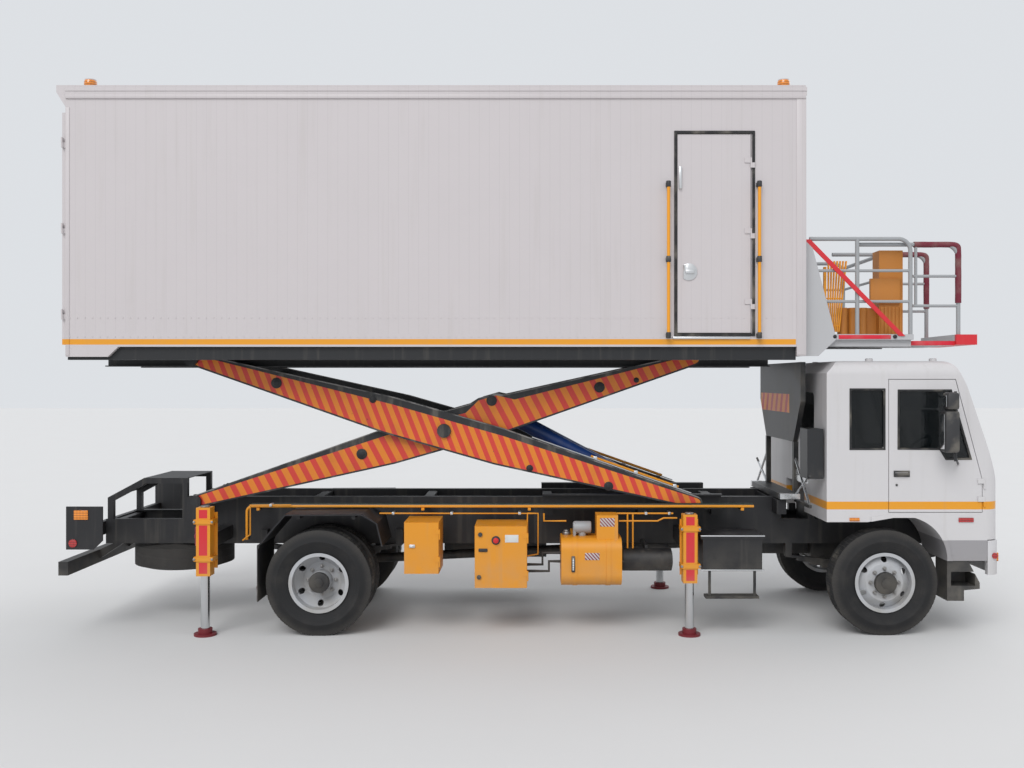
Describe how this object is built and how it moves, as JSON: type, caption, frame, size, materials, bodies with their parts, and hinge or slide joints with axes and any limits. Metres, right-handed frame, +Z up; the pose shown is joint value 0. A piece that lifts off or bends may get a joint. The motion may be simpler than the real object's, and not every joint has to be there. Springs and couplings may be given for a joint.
{
  "type": "aircraft cabin loader truck",
  "caption": "Two-axle truck with a scissor-lifted van body, a boarding platform over the cab, hydraulic stabilisers and side cabinets, for servicing aircraft cabins.",
  "frame": {"origin": "middle of the footprint at ground level", "axes": "+X forward along the truck, +Y to the truck's left, +Z up"},
  "size_m": [9.396, 3, 5.56],
  "materials": {
    "black_steel": "satin",
    "white_paint": "gloss",
    "glass": "gloss",
    "trim": "matte",
    "yellow_paint": "satin",
    "orange_tape": "satin",
    "blue_paint": "satin",
    "chrome": "gloss",
    "tyre_rubber": "matte",
    "white_panel": "satin",
    "grey_paint": "satin",
    "aluminium": "satin"
  },
  "bodies": {
    "root": {"chassis_frame": "black_steel", "front_axle": "black_steel", "rear_axle": "black_steel", "engine_gearbox": "black_steel", "rear_mudguards": "black_steel", "cab_shell": "white_paint", "cab_glass": "glass", "cab_interior": "trim", "front_bumper": "white_paint", "headboard": "black_steel", "subframe": "black_steel", "hydraulic_pipes": "yellow_paint", "stabiliser_housings": "yellow_paint", "tool_cabinets": "yellow_paint", "hydraulic_tank": "yellow_paint", "battery_box": "aluminium", "air_tanks": "black_steel", "fuel_tank": "aluminium", "rear_bumper": "black_steel", "spare_wheel": "tyre_rubber"},
    "inner_scissor": {"inner_arms": "orange_tape"},
    "outer_scissor": {"outer_arms": "orange_tape"},
    "cylinder_barrels": {"lift_barrels": "blue_paint"},
    "cylinder_rods": {"lift_rods": "chrome"},
    "van": {"van_floor": "black_steel", "van_wall_left": "white_panel", "van_wall_right": "white_panel", "van_roof": "white_panel", "van_front_wall": "white_panel", "van_rear_frame": "white_panel", "van_handrails": "yellow_paint"},
    "side_door": {"van_side_door": "white_panel"},
    "platform": {"platform_deck": "grey_paint", "platform_rails": "grey_paint", "folded_gate": "yellow_paint", "control_console": "grey_paint"},
    "extension": {"extension_deck": "grey_paint", "extension_rails": "grey_paint"},
    "cabinet_lid_rear": {"cabinet_door_rear": "yellow_paint"},
    "cabinet_lid_front": {"cabinet_door_front": "yellow_paint"},
    "steering_left": {"knuckle_left": "black_steel"},
    "front_wheel_left": {"front_tyre_left": "tyre_rubber", "front_rim_left": "grey_paint"},
    "rear_wheels_left": {"rear_tyres_left": "tyre_rubber", "rear_rims_left": "grey_paint"},
    "cab_door_left_leaf": {"cab_door_left": "white_paint"},
    "rear_door_left_leaf": {"rear_door_left": "white_panel"},
    "stabiliser_rear_left": {"leg_rear_left": "chrome"},
    "stabiliser_front_left": {"leg_front_left": "chrome"},
    "steering_right": {"knuckle_right": "black_steel"},
    "front_wheel_right": {"front_tyre_right": "tyre_rubber", "front_rim_right": "grey_paint"},
    "rear_wheels_right": {"rear_tyres_right": "tyre_rubber", "rear_rims_right": "grey_paint"},
    "cab_door_right_leaf": {"cab_door_right": "white_paint"},
    "rear_door_right_leaf": {"rear_door_right": "white_panel"},
    "stabiliser_rear_right": {"leg_rear_right": "chrome"},
    "stabiliser_front_right": {"leg_front_right": "chrome"}
  },
  "joints": [
    {"name": "lift", "type": "hinge", "parent": "root", "child": "inner_scissor", "pos_m": [-3.522, 0, 1.27], "axis": [0, -1, 0], "range_deg": [-1, 30]},
    {"name": "outer_swing", "type": "hinge", "parent": "inner_scissor", "child": "outer_scissor", "pos_m": [-0.892, 0, 2.02], "axis": [0, -1, 0], "range_deg": [-60, 2]},
    {"name": "van_level", "type": "hinge", "parent": "outer_scissor", "child": "van", "pos_m": [-3.522, 0, 2.77], "axis": [0, -1, 0], "range_deg": [-1, 30]},
    {"name": "barrel_swing", "type": "hinge", "parent": "outer_scissor", "child": "cylinder_barrels", "pos_m": [1.12749, 0, 1.4441], "axis": [0, -1, 0], "range_deg": [-2, 1]},
    {"name": "rod_stroke", "type": "slide", "parent": "cylinder_barrels", "child": "cylinder_rods", "axis": [-0.8847, 0, 0.4661], "range_m": [-0.03, 0.53]},
    {"name": "side_door_swing", "type": "hinge", "parent": "van", "child": "side_door", "pos_m": [2.194, -1.262, 4], "axis": [0, 0, 1], "range_deg": [0, 95]},
    {"name": "platform_lift", "type": "slide", "parent": "van", "child": "platform", "axis": [0, 0, 1], "range_m": [0, 1.3]},
    {"name": "extension_slide", "type": "slide", "parent": "platform", "child": "extension", "axis": [1, 0, 0], "range_m": [-0.4, 0.5]},
    {"name": "cabinet_rear_swing", "type": "hinge", "parent": "root", "child": "cabinet_lid_rear", "pos_m": [-0.896, -1.206, 0.877], "axis": [0, 0, 1], "range_deg": [0, 110]},
    {"name": "cabinet_front_swing", "type": "hinge", "parent": "root", "child": "cabinet_lid_front", "pos_m": [-0.018, -1.206, 0.787], "axis": [0, 0, 1], "range_deg": [0, 110]},
    {"name": "steer_left", "type": "hinge", "parent": "root", "child": "steering_left", "pos_m": [3.548, 0.87, 0.525], "axis": [0, 0, 1], "range_deg": [-35, 35]},
    {"name": "front_spin_left", "type": "hinge", "parent": "steering_left", "child": "front_wheel_left", "pos_m": [3.548, 1.06, 0.525], "axis": [0, 1, 0], "continuous": true},
    {"name": "rear_spin_left", "type": "hinge", "parent": "root", "child": "rear_wheels_left", "pos_m": [-2.102, 1.08, 0.525], "axis": [0, 1, 0], "continuous": true},
    {"name": "cab_door_left_swing", "type": "hinge", "parent": "root", "child": "cab_door_left_leaf", "pos_m": [4.523, 1.209, 1.5], "axis": [0, 0, -1], "range_deg": [0, 70]},
    {"name": "rear_door_left_swing", "type": "hinge", "parent": "van", "child": "rear_door_left_leaf", "pos_m": [-4.622, 1.268, 4.05], "axis": [0, 0, -1], "range_deg": [0, 265]},
    {"name": "stabiliser_rear_left_lift", "type": "slide", "parent": "root", "child": "stabiliser_rear_left", "axis": [0, 0, 1], "range_m": [0, 0.45]},
    {"name": "stabiliser_front_left_lift", "type": "slide", "parent": "root", "child": "stabiliser_front_left", "axis": [0, 0, 1], "range_m": [0, 0.45]},
    {"name": "steer_right", "type": "hinge", "parent": "root", "child": "steering_right", "pos_m": [3.548, -0.87, 0.525], "axis": [0, 0, 1], "range_deg": [-35, 35]},
    {"name": "front_spin_right", "type": "hinge", "parent": "steering_right", "child": "front_wheel_right", "pos_m": [3.548, -1.06, 0.525], "axis": [0, 1, 0], "continuous": true},
    {"name": "rear_spin_right", "type": "hinge", "parent": "root", "child": "rear_wheels_right", "pos_m": [-2.102, -1.08, 0.525], "axis": [0, 1, 0], "continuous": true},
    {"name": "cab_door_right_swing", "type": "hinge", "parent": "root", "child": "cab_door_right_leaf", "pos_m": [4.523, -1.209, 1.5], "axis": [0, 0, 1], "range_deg": [0, 70]},
    {"name": "rear_door_right_swing", "type": "hinge", "parent": "van", "child": "rear_door_right_leaf", "pos_m": [-4.622, -1.268, 4.05], "axis": [0, 0, 1], "range_deg": [0, 265]},
    {"name": "stabiliser_rear_right_lift", "type": "slide", "parent": "root", "child": "stabiliser_rear_right", "axis": [0, 0, 1], "range_m": [0, 0.45]},
    {"name": "stabiliser_front_right_lift", "type": "slide", "parent": "root", "child": "stabiliser_front_right", "axis": [0, 0, 1], "range_m": [0, 0.45]}
  ],
  "couplings": [
    {"joint": "outer_swing", "follows": "lift", "ratio": -2},
    {"joint": "van_level", "follows": "lift", "ratio": 1},
    {"joint": "barrel_swing", "follows": "lift", "ratio": -0.0214},
    {"joint": "rod_stroke", "follows": "lift", "m_per_rad": 0.98074},
    {"joint": "steer_right", "follows": "steer_left", "ratio": 1}
  ]
}
